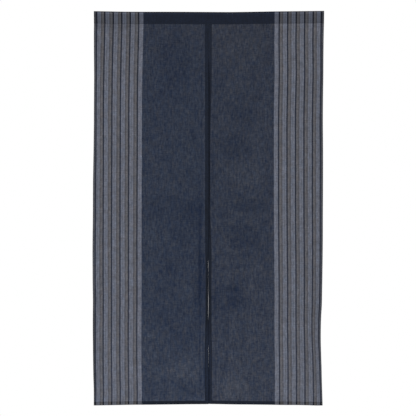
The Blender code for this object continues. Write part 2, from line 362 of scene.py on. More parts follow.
# One line of a sheet's grid: how far along the flat part it lies, or past its end, then the angle
# through which it has gone round the fold, and how far it lies along the turned layer
Line = namedtuple("Line", "flat angle past")
FOLD_STEPS = 5
PAST_THE_FOLD = 9.0


def sheet_lines(flats, turned):
    """Grid lines along a flat part, round its folded edge and back along the turned layer."""
    lines = [Line(flat, 0.0, 0.0) for flat in flats]
    lines += [Line(PAST_THE_FOLD, angle, 0.0) for angle in np.linspace(0, np.pi, FOLD_STEPS + 1)]
    return lines + [Line(PAST_THE_FOLD, np.pi, past) for past in turned]


def fold_back(lines, end, radius, inner):
    """Where grid lines lie along the hung cloth and behind its face, and how far along the flat one."""
    edge = end - radius
    flat = np.minimum(lines["flat"], edge)
    along = flat + (radius - inner) * np.sin(lines["angle"]) - lines["past"]
    back = radius - (radius - inner) * np.cos(lines["angle"])
    return along, back, flat + radius * lines["angle"] + lines["past"]


def as_grid(lines, shape, axis):
    """The lines' three columns, each spread over the whole grid."""
    place = [1, 1]
    place[axis] = len(lines)
    return {
        name: np.broadcast_to(np.array([getattr(line, name) for line in lines]).reshape(place), shape)
        for name in Line._fields
    }


def in_scene(name, data):
    made = bpy.data.objects.new(name, data)
    bpy.context.scene.collection.objects.link(made)
    return made


def cloth_object(name, points, flat_places, hollow):
    """A thin closed sheet on a grid of points, with its flat places, in metres, as the map named cloth, and
    the painted shade and painted light of each point.
    """
    rows, columns = points.shape[:2]
    grid = bmesh.new()
    bmesh.ops.create_grid(grid, x_segments=columns - 1, y_segments=rows - 1, size=0.5)
    mesh = bpy.data.meshes.new(name)
    grid.to_mesh(mesh)
    grid.free()
    # The grid's points run along its rows, and the first row of points is its first row here
    mesh.vertices.foreach_set("co", points.reshape(-1).astype(np.float32))
    corners = np.empty(len(mesh.loops), dtype=np.int32)
    mesh.loops.foreach_get("vertex_index", corners)
    cloth_map = mesh.uv_layers.new(name="cloth")
    cloth_map.data.foreach_set("uv", flat_places.reshape(-1, 2)[corners].reshape(-1).astype(np.float32))
    # Painted shade and painted light of the creases and hollows, kept on each point for the material
    shading = mesh.attributes.new("hollow", "FLOAT", "POINT")
    shading.data.foreach_set("value", hollow.reshape(-1).astype(np.float32))
    mesh.update()
    middle = mesh.polygons[len(mesh.polygons) // 3]
    if middle.normal.y > 0:
        mesh.flip_normals()
    mesh.shade_smooth()
    cloth = in_scene(name, mesh)
    thicken = cloth.modifiers.new("Cloth thickness", "SOLIDIFY")
    thicken.thickness = CLOTH
    thicken.offset = -1.0
    return cloth


def fine_lines(start, stop, step):
    return list(np.linspace(start, stop, max(2, round((stop - start) / step) + 1)))


# A grid's lines towards a hem: how far apart they are, how far before the stitches they end and the finer
# ones begin, how far before the edge those end, and how far apart they are
Approach = namedtuple("Approach", "step ends finer_from finer_until finer_step")
TO_SLIT = Approach(0.0042, 0.004, 0.003, 0.001, 0.0013)
TO_BOTTOM = Approach(0.0068, 0.006, 0.003, 0.002, 0.0016)
CURL_STEP = 0.002
TURNED_STEP = 0.003
UNDER_POCKET = [0, 0.001, 0.0022, 0.004, 0.0065, 0.0095, 0.013]  # the first lines down a panel


def lines_to_hem(first, edge, approach):
    """A sheet's lines on from its first ones, round a hem's fold and back along the turned layer."""
    stitched = edge - HEM
    flats = first + fine_lines(first[-1], stitched - approach.ends, approach.step)[1:]
    flats += fine_lines(stitched - approach.finer_from, edge - approach.finer_until, approach.finer_step)
    return sheet_lines(flats, fine_lines(TURNED_STEP, HEM, TURNED_STEP))


def panel_cloth(name, panel):
    """One panel with its hems, as a thin sheet."""
    border = fine_lines(0, CURL_WIDTH, CURL_STEP) + fine_lines(CURL_WIDTH, BORDER, TO_SLIT.step)[1:]
    across = lines_to_hem(border, PANEL, TO_SLIT)
    down = lines_to_hem(UNDER_POCKET, LENGTH, TO_BOTTOM)
    shape = (len(down), len(across))
    side_lines, down_lines = as_grid(across, shape, 1), as_grid(down, shape, 0)
    place, behind, cut_across = fold_back(side_lines, PANEL, HEM_ROLL, 0.0)
    place_down, behind, cut_down = fold_back(down_lines, LENGTH, bottom_roll(place), behind)
    points, back = face_and_back(panel, place, place_down)
    # Painted shade and painted light, from the creases' and hollows' shares
    hollow = creases_and_hollows(panel, "darker", place, place_down)
    points = points + back * behind[..., None]
    return cloth_object(name, points, np.stack((cut_across, cut_down), axis=-1), hollow)


LEFT = Panel(-1, LEFT_SECTIONS, LEFT_FOLDS, LEFT_CREASES, LEFT_HOLLOWS, 11)
left_panel = panel_cloth("left_panel", LEFT)


# The cotton's own pattern, woven in: the border's coloured warp yarns, in the order in which they
# were laid from the selvedge inwards, as widths in millimetres. Colours are those of doubled cloth.
SELVEDGE = 8.2
FIRST_STRIPE = 13.8  # where the navy beside the selvedge ends
SELVEDGE_SOFTNESS = 0.03  # of the selvedge's own edge, as a share of that place
REPEAT_START = 12.1
LAST_STRIPE = 180.0  # from here on, the last blue-grey stripe runs to the border's end
Stripe = namedtuple("Stripe", "shade width")
STRIPES = table(Stripe, [
    ("blue_grey", 14.8),
    ("brown_grey", 4.8),
    ("warm_grey", 7.4),
    ("navy", 5.3),
])
STRIPE_SOFTNESS = 0.35
MIDDLE_HALF = 1.1  # half the width of a blue-grey stripe's darker middle, and over what width it fades
BORDER_SHADES = {
    "selvedge": (0.0380, 0.0375, 0.0410),
    "navy": (0.0048, 0.0062, 0.0120),
    "blue_grey": (0.0870, 0.0909, 0.1110),
    "blue_grey_middle": (0.0690, 0.0747, 0.0900),
    "brown_grey": (0.0470, 0.0450, 0.0485),
    "warm_grey": (0.0690, 0.0652, 0.0670),
}
FIELD_SHADE = (0.0104, 0.0145, 0.0256)
MILLIMETRE = 0.001
SINGLE_LAYER = 1.33  # how much lighter a single layer is painted, for the light that comes through it
# Light that comes through it, its share at the top, and what is added to that share a metre lower down
THROUGH_LIGHT = (0.0141, 0.0162, 0.0226)
THROUGH_AT_TOP = 0.80
THROUGH_LOWER_DOWN = 0.47
DYE_UNEVENNESS = 0.29
REDDER_TOP = 0.19  # how much redder the field's single layer is at its top, in the same measure
REDDER_UNTIL = 0.21  # how far down the panel that reaches
PALENESS = (1.21, 0.99, 0.64)  # how much a lighter place of the field is so in its red, green and blue
PALENESS_DOUBLED = -0.8  # share of that in doubled cloth, where a lighter place is bluer instead
# By what share doubled cloth and the border's closer, finer yarns are more even, also in their dye
EVENER_DOUBLED = 0.60
EVENER_BORDER = 0.41
EVENER_DYE = 1.25
# How a pattern of the yarns changes the cloth: what it is multiplied by, and what is added
Change = namedtuple("Change", "factor offset")
LIGHTNESS = [Change(2.10, -0.05), Change(1.20, 0.40), Change(0.56, 0.72), Change(0.24, 0.88)]
ROUGHNESS = Change(0.12, 0.82)
SLUB_HEIGHT = 0.5  # beside that of the weave
Relief = namedtuple("Relief", "strength distance")
COTTON_RELIEF = Relief(0.5, 0.00012)
COTTON_FINISH = {"Specular IOR Level": 0.12, "Sheen Weight": 0.04, "Sheen Roughness": 0.5}
WARP_PITCH = 0.0007  # of two neighbouring yarns
WEFT_PITCH = 0.0008
YARN_ROUNDNESS = 0.6
POCKET_TURN = 0.116  # up the pocket's front, over its top and down its back, with the edge turned under


def add_node(tree, kind, inputs=(), **settings):
    """The outputs of a new node, with each input linked to a socket or set to a value."""
    node = tree.nodes.new("ShaderNode" + kind)
    for name, value in settings.items():
        setattr(node, name, value)
    for name, value in dict(inputs).items():
        if isinstance(value, bpy.types.NodeSocket):
            tree.links.new(value, node.inputs[name])
        else:
            node.inputs[name].default_value = value
    return node.outputs


def math_node(tree, operation, *values):
    """The result of a Math node on sockets or plain numbers."""
    return add_node(tree, "Math", enumerate(values), operation=operation)["Value"]


def colour_mix(tree, blend, share, *colours):
    """The result of a colour Mix node on two sockets or colours."""
    first, second = ((*colour, 1.0) if isinstance(colour, tuple) else colour for colour in colours)
    inputs = {0: share, 6: first, 7: second}
    return add_node(tree, "Mix", inputs, data_type="RGBA", blend_type=blend, clamp_factor=True)[2]


def shade_ramp(tree, place, stops):
    """A Color Ramp through (place, colour) stops."""
    stops = list(stops)
    ramp = tree.nodes.new("ShaderNodeValToRGB")
    ramp.color_ramp.interpolation = "LINEAR"
    elements = ramp.color_ramp.elements
    while len(elements) < len(stops):
        elements.new(0.5)
    for element, (at, colour) in zip(elements, stops):
        element.position = at
        element.color = (*colour, 1.0)
    tree.links.new(place, ramp.inputs[0])
    return ramp.outputs["Color"]


def node_group(name, takes, gives, kind="NodeSocketFloat"):
    """A new node group, the maker of its Math nodes, what comes into it and what it gives."""
    group = bpy.data.node_groups.new(name, "ShaderNodeTree")
    for socket, default in takes.items():
        made = group.interface.new_socket(name=socket, in_out="INPUT", socket_type="NodeSocketFloat")
        made.default_value = default
    for socket in gives:
        group.interface.new_socket(name=socket, in_out="OUTPUT", socket_type=kind)
    inputs = group.nodes.new("NodeGroupInput").outputs
    return group, partial(math_node, group), inputs, group.nodes.new("NodeGroupOutput").inputs


def warp_shades():
    """Node group: the colour of the warp at a place across the panel, in metres from its selvedge."""
    group, maths, inputs, results = node_group("Warp shades", {"Across": 0.0}, ["Shade"], "NodeSocketColor")
    across = maths("DIVIDE", inputs["Across"], MILLIMETRE)
    repeat = sum(stripe.width for stripe in STRIPES)
    soft, half = STRIPE_SOFTNESS / repeat, MIDDLE_HALF / repeat
    stops, begins = [], 0.0
    for stripe in STRIPES:
        ends = begins + stripe.width / repeat
        places = [begins + soft * (stripe != STRIPES[0]), ends - soft * (stripe != STRIPES[-1])]
        shades = [stripe.shade] * 2
        if stripe.shade == "blue_grey":
            places[1:1] = [(begins + ends) / 2 + half * step for step in (-2, -1, 1, 2)]
            shades[1:1] = ["blue_grey", "blue_grey_middle", "blue_grey_middle", "blue_grey"]
        stops += [(at, BORDER_SHADES[shade]) for at, shade in zip(places, shades)]
        begins = ends
    place = maths("DIVIDE", maths("SUBTRACT", across, REPEAT_START), repeat)
    striped = shade_ramp(group, maths("FRACT", place), stops)
    at_navy = SELVEDGE / FIRST_STRIPE
    places = [0.0, at_navy - SELVEDGE_SOFTNESS, at_navy + SELVEDGE_SOFTNESS, 1.0]
    shades = [BORDER_SHADES[name] for name in ("selvedge", "selvedge", "navy", "navy")]
    shade = shade_ramp(group, maths("DIVIDE", across, FIRST_STRIPE), zip(places, shades))
    for begins, further in (
        (FIRST_STRIPE, striped),
        (LAST_STRIPE, BORDER_SHADES["blue_grey"]),
        (BORDER / MILLIMETRE, FIELD_SHADE),
    ):
        shade = colour_mix(group, "MIX", maths("GREATER_THAN", across, begins), shade, further)
    group.links.new(shade, results["Shade"])
    return group


# The yarns' streaks and the cloth's cloudiness: how fine each is across and down the cloth, and its detail
Streak = namedtuple("Streak", "name across down detail")
STREAKS = table(Streak, [
    ("Warp", 165.0, 40.0, 4.0),
    ("Weft", 52.0, 250.0, 2.0),
    ("Cloud", 19.0, 13.0, 3.0),
    ("Tint", 70.0, 36.0, 1.0),
])
STREAK_ROUGHNESS = 0.72


def yarn_streaks():
    """Node group: the slubs and thin places of the yarns, long streaks both ways, from 0 to 1."""
    takes = {"Across": 0.0, "Down": 0.0, "Lot": 0.0}
    names = [streak.name for streak in STREAKS]
    group, maths, inputs, results = node_group("Yarn streaks", takes, names)
    for streak in STREAKS:
        across = maths("MULTIPLY_ADD", inputs["Across"], streak.across, inputs["Lot"])
        down = maths("MULTIPLY_ADD", inputs["Down"], streak.down, inputs["Lot"])
        place = add_node(group, "CombineXYZ", {0: across, 1: down})[0]
        fineness = {"Scale": 1.0, "Detail": streak.detail, "Roughness": STREAK_ROUGHNESS}
        noise = add_node(group, "TexNoise", {"Vector": place, **fineness}, noise_dimensions="2D")[0]
        group.links.new(noise, results[streak.name])
    return group


def plain_weave():
    """Node group: over and under of single yarns. Warp on Top is 1 where the warp shows."""
    takes = {"Across": 0.0, "Down": 0.0, "Warp Pitch": WARP_PITCH, "Weft Pitch": WEFT_PITCH}
    group, maths, inputs, results = node_group("Plain weave", takes, ["Height", "Warp on Top"])
    waves = []
    for place, pitch in (("Across", "Warp Pitch"), ("Down", "Weft Pitch")):
        yarns = maths("DIVIDE", inputs[place], inputs[pitch])
        waves.append(maths("SINE", maths("MULTIPLY", yarns, math.pi)))
    crossing = maths("MULTIPLY", waves[0], waves[1])
    height = maths("POWER", maths("ABSOLUTE", crossing), YARN_ROUNDNESS)
    group.links.new(height, results["Height"])
    group.links.new(maths("MULTIPLY_ADD", crossing, 0.5, 0.5), results["Warp on Top"])
    return group


WARP_SHADES, YARN_STREAKS, PLAIN_WEAVE = warp_shades(), yarn_streaks(), plain_weave()


# Where each length of cotton begins in the yarns' streaks, and how red, green and blue the dye took in its
# field and in its border
Lot = namedtuple("Lot", "start field border")
LEFT_LOT = Lot(0.0, (0.990, 1.010, 1.030), (0.990, 1.010, 1.035))
RIGHT_LOT = Lot(57.3, (1.030, 1.010, 0.995), (0.995, 1.015, 1.035))
POCKET_LOT = Lot(0.0, (0.97, 0.97, 1.01), (0.965, 1.025, 1.110))


def mapped_material(name, map_name):
    """A new material, its nodes and shader, and its places along the two ways of a named map."""
    material = bpy.data.materials.new(name)
    material.use_nodes = True
    tree = material.node_tree
    flat_map = add_node(tree, "UVMap", uv_map=map_name)[0]
    return material, tree, tree.nodes["Principled BSDF"], add_node(tree, "SeparateXYZ", {0: flat_map})


def finish_cloth(tree, shader, finish, height, relief):
    """Sets the shader's own values and lets a height stand out of its surface."""
    for name, value in finish.items():
        shader.inputs[name].default_value = value
    bump = {"Strength": relief.strength, "Distance": relief.distance, "Height": height}
    tree.links.new(add_node(tree, "Bump", bump)[0], shader.inputs["Normal"])


def changed_by(tree, pattern, change):
    return math_node(tree, "MULTIPLY_ADD", pattern, change.factor, change.offset)


def cotton(name, doubled_beyond, lot, painted_shading=()):
    """The woven cotton. Light comes through it where it is one layer, and not where it is doubled,
    beyond the given places across and down the panel. Each length has the streaks and dye of its lot.
    The last argument holds (place up the pocket, share of its colour) for the painted shade over the pocket's
    rounded top and the painted highlight along its front just below it."""
    material, tree, shader, ways = mapped_material(name, "cloth")
    maths = partial(math_node, tree)
    places = {"Across": ways[0], "Down": ways[1]}
    shade = add_node(tree, "Group", {"Across": ways[0]}, node_tree=WARP_SHADES)["Shade"]
    streaks = add_node(tree, "Group", {**places, "Lot": lot.start}, node_tree=YARN_STREAKS)
    weave = add_node(tree, "Group", places, node_tree=PLAIN_WEAVE)

    past = [maths("GREATER_THAN", way, edge) for way, edge in zip(ways, doubled_beyond)]
    doubled = maths("MAXIMUM", *past)

    # Where it is one layer, the cloth is lighter by the light that comes through between the yarns
    lit = colour_mix(tree, "MULTIPLY", 1.0, shade, (SINGLE_LAYER,) * 3)
    depth = maths("MULTIPLY", places["Down"], places["Down"])
    sheer = maths("MULTIPLY_ADD", depth, THROUGH_LOWER_DOWN, THROUGH_AT_TOP)
    glow = add_node(tree, "VectorMath", {0: THROUGH_LIGHT, "Scale": sheer}, operation="SCALE")[0]
    through = colour_mix(tree, "ADD", 1.0, lit, glow)
    colour = colour_mix(tree, "MIX", doubled, through, shade)

    # Slubs, thin places and a slight cloudiness, less of it in the border's closer, finer yarns and where
    # two layers cover each other
    patterns = [streaks["Warp"], streaks["Weft"], streaks["Cloud"], weave["Warp on Top"]]
    tone, *others = (changed_by(tree, pattern, change) for pattern, change in zip(patterns, LIGHTNESS))
    for other in others:
        tone = maths("MULTIPLY", tone, other)
    evener = maths("MULTIPLY", doubled, EVENER_DOUBLED)
    in_border = maths("LESS_THAN", places["Across"], BORDER)
    evener = maths("MAXIMUM", evener, maths("MULTIPLY", in_border, EVENER_BORDER))
    tone = maths("MULTIPLY_ADD", maths("SUBTRACT", 1.0, tone), evener, tone)
    # Painted shade in creases and hollows darkens the cloth's colour, and painted light lightens it where the
    # share is negative
    hollow = add_node(tree, "Attribute", attribute_name="hollow")["Fac"]
    tone = maths("MULTIPLY", tone, maths("SUBTRACT", 1.0, hollow))
    # Painted highlight and painted shade where the cloth turns over the pocket's rounded top
    if painted_shading:
        up = maths("DIVIDE", places["Down"], -POCKET_TURN)
        turn = shade_ramp(tree, up, [(at / POCKET_TURN, (share,) * 3) for at, share in painted_shading])
        colour = colour_mix(tree, "MULTIPLY", 1.0, colour, turn)

    # The dye took a little redder here and bluer there, and the field's single layer is redder near its top
    hue = maths("SUBTRACT", streaks["Tint"], 0.5)
    hue = maths("MULTIPLY", hue, maths("MULTIPLY_ADD", evener, -EVENER_DYE, 1.0))
    lighter = maths("SUBTRACT", tone, 1.0)
    in_field = maths("SUBTRACT", 1.0, in_border)
    upper = maths("MULTIPLY_ADD", places["Down"], -REDDER_TOP / REDDER_UNTIL, REDDER_TOP)
    upper = maths("MULTIPLY", maths("MAXIMUM", upper, 0.0), in_field)
    hue = maths("MULTIPLY_ADD", upper, maths("SUBTRACT", 1.0, doubled), hue)
    paler = maths("MULTIPLY", in_field, maths("MULTIPLY_ADD", doubled, PALENESS_DOUBLED - 1.0, 1.0))
    dyed = []
    for axis, strength in enumerate((DYE_UNEVENNESS, 0.0, -DYE_UNEVENNESS)):
        dye = maths("MULTIPLY_ADD", in_border, lot.border[axis] - lot.field[axis], lot.field[axis])
        factor = maths("MULTIPLY_ADD", hue, strength, dye)
        paleness = maths("MULTIPLY_ADD", paler, PALENESS[axis] - 1.0, 1.0)
        level = maths("MULTIPLY_ADD", lighter, paleness, 1.0)
        dyed.append(maths("MULTIPLY", level, factor))
    colour = colour_mix(tree, "MULTIPLY", 1.0, colour, add_node(tree, "CombineXYZ", enumerate(dyed))[0])
    tree.links.new(colour, shader.inputs["Base Color"])

    tree.links.new(changed_by(tree, streaks["Warp"], ROUGHNESS), shader.inputs["Roughness"])
    slubs = maths("ADD", streaks["Warp"], streaks["Weft"])
    height = maths("MULTIPLY_ADD", slubs, SLUB_HEIGHT, weave["Height"])
    finish_cloth(tree, shader, COTTON_FINISH, height, COTTON_RELIEF)
    return material


DOUBLED = (PANEL - HEM, LENGTH - HEM)
left_panel.data.materials.append(cotton("Striped cotton, left", DOUBLED, LEFT_LOT))
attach(left_panel, "root")
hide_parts("panel_left")

# The sewing: rows of small running stitches in navy cotton thread along both hems, through all layers.
# Each comes up through the cloth, runs along it and goes down again: share of its length and height
THREAD = 0.0004
STITCH_PITCH = 0.0030
STITCH_LENGTH = 0.0023
Bow = namedtuple("Bow", "share height")
STITCH_BOW = [Bow(0.0, -0.00020), Bow(0.20, 0.00010), Bow(0.80, 0.00010), Bow(1.0, -0.00020)]
FIRST_STITCH = 0.004  # from the end of a hem
THREAD_SIDES = 4
THREAD_SHADE = (0.0105, 0.0135, 0.0230)
THREAD_TWIST = 0.0007  # length of one turn of its plies
TWIST_LIGHTNESS = 0.16
FUZZ = 900.0  # how fine the thread's fuzz is
FUZZ_LIGHTNESS = 0.5
THREAD_FINISH = {"Roughness": 0.7, "Specular IOR Level": 0.2, "Sheen Weight": 0.05}
THREAD_RELIEF = Relief(0.6, 0.00005)


def thread_object(name, centres, outward):
    """Short threads in one mesh, from their middle points and the cloth's outer side (thread, ring, axis)."""
    count, rings = centres.shape[:2]
    aside = unit(np.cross(centres[:, -1:] - centres[:, :1], outward))
    angles = np.linspace(0, 2 * np.pi, THREAD_SIDES, endpoint=False)[:, None]
    ring = np.cos(angles) * outward[:, :, None] + np.sin(angles) * aside[:, :, None]
    points = centres[:, :, None] + ring * THREAD / 2
    corner = np.arange(count * rings * THREAD_SIDES).reshape(count, rings, THREAD_SIDES)
    following = np.roll(corner, -1, axis=2)
    faces = np.stack((corner[:, :-1], following[:, :-1], following[:, 1:], corner[:, 1:]), axis=-1)
    mesh = bpy.data.meshes.new(name)
    mesh.from_pydata(points.reshape(-1, 3).tolist(), [], faces.reshape(-1, 4).tolist())
    runs = np.linalg.norm(centres - centres[:, :1], axis=-1)[:, :, None] + 0 * angles.T
    around = np.broadcast_to(np.arange(THREAD_SIDES) / THREAD_SIDES, runs.shape)
    along = np.stack((runs[:, :-1], runs[:, :-1], runs[:, 1:], runs[:, 1:]), axis=-1)
    turns = np.stack((around, around + 1 / THREAD_SIDES, around + 1 / THREAD_SIDES, around), axis=-1)[:, 1:]
    thread_map = mesh.uv_layers.new(name="thread")
    thread_map.data.foreach_set("uv", np.stack((along, turns), axis=-1).reshape(-1).astype(np.float32))
    mesh.shade_smooth()
    return in_scene(name, mesh)


def stitch_places(start, stop):
    """Places along a seam of the rings of each stitch, and their heights over the cloth."""
    begins = np.arange(start, stop - STITCH_LENGTH, STITCH_PITCH)
    places = begins[:, None] + STITCH_LENGTH * np.array([bow.share for bow in STITCH_BOW])
    return places, np.broadcast_to(np.array([bow.height for bow in STITCH_BOW]), places.shape)


def hem_stitches(name, panel):
    """The stitches of a panel's slit hem and bottom hem, on its face and on the turned layer behind."""
    down, slit_height = stitch_places(FIRST_STITCH, LENGTH - HEM)
    across, bottom_height = stitch_places(FIRST_STITCH, PANEL - HEM)
    slit_line = np.full_like(down, PANEL - HEM + STITCH_INSET)
    bottom_line = np.full_like(across, LENGTH - HEM + STITCH_INSET)
    across = np.concatenate((slit_line, across))
    down = np.concatenate((down, bottom_line))
    height = np.concatenate((slit_height, bottom_height))[..., None]
    points, back = face_and_back(panel, across, down)
    layers = 2 * np.concatenate((np.full_like(slit_line, HEM_ROLL), bottom_roll(across[len(slit_line) :])))
    behind = points + back * (layers[..., None] + height)
    centres = np.concatenate((points - back * height, behind))
    return thread_object(name, centres, np.concatenate((-back, back)))


def thread_cotton():
    """Two-ply sewing thread, with its twist."""
    material, tree, shader, ways = mapped_material("Sewing thread", "thread")
    maths = partial(math_node, tree)
    turns = maths("MULTIPLY_ADD", ways[0], 1 / THREAD_TWIST, ways[1])
    twist = maths("SINE", maths("MULTIPLY", turns, 2 * math.pi))
    fuzz = add_node(tree, "TexNoise", {"Scale": FUZZ})[0]
    tone = maths("MULTIPLY_ADD", twist, TWIST_LIGHTNESS, fuzz)
    tone = maths("ADD", tone, FUZZ_LIGHTNESS)
    grey = add_node(tree, "CombineXYZ", {0: tone, 1: tone, 2: tone})[0]
    colour = colour_mix(tree, "MULTIPLY", 1.0, THREAD_SHADE, grey)
    tree.links.new(colour, shader.inputs["Base Color"])
    finish_cloth(tree, shader, THREAD_FINISH, twist, THREAD_RELIEF)
    return material


sewing_thread = thread_cotton()


def sewn(thread):
    thread.data.materials.append(sewing_thread)
    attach(thread, "root")
    return thread


left_stitches = sewn(hem_stitches("left_hem_stitches", LEFT))


# The right panel. The same cotton the other way round, with its stripes outside. It hangs a little to
# the left, so that its slit hem lies behind the left panel's, and its lower outer edge turns back.
RIGHT_SECTIONS = table(Section, [
    (0.047, 0.2524, -0.0001, 0.0000, 0, 0.070, 0.060, 20, 0),
    (0.120, 0.2517, -0.0001, 0.0000, 6, 0.070, 0.060, 22, 0),
    (0.230, 0.2527, -0.0004, 0.0050, 14, 0.070, 0.060, 30, 0),
    (0.310, 0.2513, -0.0015, 0.0055, 14, 0.070, 0.060, 24, 0),
    (0.430, 0.2496, -0.0055, 0.0055, 13, 0.060, 0.030, 0, 0),
    (0.560, 0.2496, -0.0065, 0.0055, 8, 0.060, 0.030, 4, 0),
    (0.760, 0.2498, -0.0065, 0.0060, 14, 0.075, 0.060, 0, 0),
    (0.880, 0.2507, -0.0020, 0.0055, 18, 0.080, 0.060, 2, 10),
    (0.940, 0.2513, -0.0004, 0.0049, 20, 0.100, 0.083, 6, 21),
    (0.968, 0.2515, -0.0001, 0.0047, 21, 0.112, 0.099, 7, 26),
    (0.995, 0.2517, -0.0004, 0.0045, 22, 0.120, 0.110, 8, 28),
    (1.060, 0.2522, -0.0005, 0.0041, 25, 0.142, 0.140, 6, 29),
    (1.115, 0.2523, -0.0002, 0.0040, 27, 0.150, 0.150, 4, 29),
    (1.160, 0.2520, -0.0002, 0.0040, 31, 0.140, 0.130, 0, 27),
    (1.230, 0.2521, -0.0006, 0.0040, 34, 0.115, 0.090, 0, 18),
    (1.285, 0.2528, 0.0002, 0.0040, 36, 0.095, 0.070, 5, 7),
    (1.316, 0.2532, -0.0001, 0.0040, 36, 0.085, 0.060, 10, 4),
    (1.350, 0.2535, 0.0001, 0.0040, 35, 0.075, 0.050, 15, 9),
    (1.400, 0.2537, -0.0004, 0.0040, 33, 0.064, 0.036, 22, 10),
    (1.499, 0.2538, -0.0004, 0.0040, 28, 0.050, 0.026, 28, 10),
])
RIGHT_FOLDS = table(Fold, [
    (0.200, 0.100, 0.15, 1.10, -0.0050),
    (0.300, 0.090, 0.20, 1.20, 0.0060),
    (0.340, 0.100, 0.85, 1.75, -0.0090),
])
# Creases of the right panel, with the share by which painted shade darkens them
RIGHT_CREASES = table(Crease, [
    (0.366, 1.230, 0.400, 1.425, 0.0055, 0.0018, 0.28),
    (0.392, 1.385, 0.420, 1.436, 0.0045, 0.0014, 0.18),
    (0.290, 0.470, 0.335, 0.462, 0.0160, 0.0014, 0.04),
    (0.320, 1.055, 0.360, 1.075, 0.0160, 0.0014, 0.04),
])
# Patches of painted shade, negative for painted light, on the right panel, with a shallow dent where a depth
# is given
RIGHT_HOLLOWS = table(Hollow, [
    (0.330, 0.080, 0.150, 0.200, -0.12, -0.0010),
    (0.425, 0.150, 0.006, 0.350, -0.20),
    (0.232, 0.400, 0.042, 0.330, -0.07),
    (0.320, 0.430, 0.150, 0.300, -0.05),
    (0.249, 0.288, 0.028, 0.022, 0.16, 0.0008),
    (0.292, 0.345, 0.080, 0.065, 0.14, 0.0015),
    (0.338, 0.474, 0.098, 0.060, 0.18, 0.0030),
    (0.284, 0.578, 0.075, 0.070, -0.14, -0.0015),
    (0.278, 0.694, 0.100, 0.038, 0.17, 0.0020),
    (0.298, 0.815, 0.088, 0.064, 0.20, 0.0030),
    (0.345, 0.868, 0.050, 0.012, -0.16, -0.0010),
    (0.340, 0.880, 0.130, 0.045, 0.06),
    (0.299, 0.940, 0.065, 0.010, -0.12, -0.0008),
    (0.338, 1.009, 0.044, 0.025, 0.16, 0.0010),
    (0.362, 1.050, 0.100, 0.072, 0.21, 0.0020),
    (0.349, 1.056, 0.030, 0.034, 0.10, 0.0010),
    (0.395, 1.105, 0.040, 0.045, 0.12),
    (0.373, 1.170, 0.016, 0.050, 0.16, 0.0008),
    (0.360, 1.264, 0.018, 0.028, -0.18, -0.0008),
    (0.345, 1.385, 0.090, 0.065, -0.19, -0.0020),
    (0.4180, 0.400, 0.005, 0.600, 0.14),
    (0.4150, 1.100, 0.006, 0.420, 0.18, 0.0003),
    (0.438, 1.330, 0.010, 0.220, -0.38),
    (0.085, 1.4455, 0.120, 0.009, -0.16),
])
RIGHT = Panel(1, RIGHT_SECTIONS, RIGHT_FOLDS, RIGHT_CREASES, RIGHT_HOLLOWS, 29)
right_panel = panel_cloth("right_panel", RIGHT)
right_panel.data.materials.append(cotton("Striped cotton, right", DOUBLED, RIGHT_LOT))
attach(right_panel, "root")
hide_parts("panel_right")
right_stitches = sewn(hem_stitches("right_hem_stitches", RIGHT))


# The rod pocket. The tops of both panels, sewn together, are turned over to the back, their raw edge
# is turned under, and they are stitched down along the foot. It stands open for the rod.
POCKET_RADIUS = 0.009  # of the rounded top, outside
POCKET_FOOT = 0.0015  # half the outer thickness at the foot, by which the walls lean in
BACK_LAYER = 0.0005  # y of the back layer's outside at the foot
STITCH_LINE = 0.0450  # depth of the pocket's stitches below the top edge
TURNED_UNDER = 0.008
POCKET_ROLL = 0.00065
WALL_LEAN = math.asin((POCKET_RADIUS - POCKET_FOOT) / (POCKET_DEPTH - POCKET_RADIUS))
ARCH_POINTS = 19
WALL_SHARES = [0, 0.025, 0.06, 0.11, 0.17, 0.25, 0.34, 0.44, 0.55, 0.66, 0.77, 0.88]  # of a wall's height
EDGE_SHARES = [0.3, 0.65, 1.0]  # of the edge turned under
UPRIGHT = 0.0015  # the back layer's foot stands upright to this far above its stitches
ABOVE_FOLD = 0.001  # the back's last line before its fold
FOOT_START = 0.003  # from the pocket's ends to those of its stitches
FOOT_END = 0.002
POCKET_WAVES = Waves(0.16, 0.0005)
POCKET_SEEDS = (47, 51, 53)  # of those waves and of the puckers on the front and on the back
SQUAT = 2.0  # how much shorter its waves are up and down
STIFF_FOOT = 0.012  # from its foot and from its turned-under edge, the cloth is this far stiff
STIFF_EDGE = 0.030
BACK_PUCKERS = 0.012  # from the turned-under edge to where the stitches pucker the back
SEAM_GROOVE = 0.0004
GROOVE_WIDTH = 0.0012
ON_FRONT = -0.002  # y before which the pocket's front is
BESIDE_SEAM = 0.0015
# Painted shade where the cloth turns over the pocket's top, with a painted highlight below it: place up the
# pocket's front and over, and share of its colour
PaintedShading = namedtuple("PaintedShading", "up share")
PAINTED_TOP_SHADING = table(PaintedShading, [
    (0.0, 1.0),
    (0.0365, 1.0),
    (0.0390, 1.4),
    (0.0410, 1.4),
    (0.0430, 0.80),
    (0.0560, 0.80),
    (0.0640, 1.0),
])


def pocket_path():
    """Points (y, depth below the top edge) up the front, over the top and down the back to the fold."""
    centre = POCKET_RADIUS
    angles = np.linspace(-WALL_LEAN, math.pi + WALL_LEAN, ARCH_POINTS)
    arch = [(-centre * math.cos(angle), centre - centre * math.sin(angle)) for angle in angles]
    front, back = np.array(arch[0]), np.array(arch[-1])
    foot = np.array((PANEL_FACE, POCKET_DEPTH))
    back_foot = np.array((BACK_LAYER, STITCH_LINE - UPRIGHT))
    up = [tuple(foot + (front - foot) * share) for share in WALL_SHARES]
    down = [tuple(back_foot + (back - back_foot) * share) for share in reversed(WALL_SHARES)]
    fold = POCKET_DEPTH - POCKET_ROLL
    tail = [(BACK_LAYER, fold - ABOVE_FOLD), (BACK_LAYER, fold)]
    for angle in np.linspace(0, math.pi, FOLD_STEPS + 1)[1:]:
        back_place = BACK_LAYER - POCKET_ROLL * (1 - math.cos(angle))
        tail.append((back_place, fold + POCKET_ROLL * math.sin(angle)))
    tail += [(tail[-1][0], fold - TURNED_UNDER * share) for share in EDGE_SHARES]
    return np.array(up + arch + down + tail)


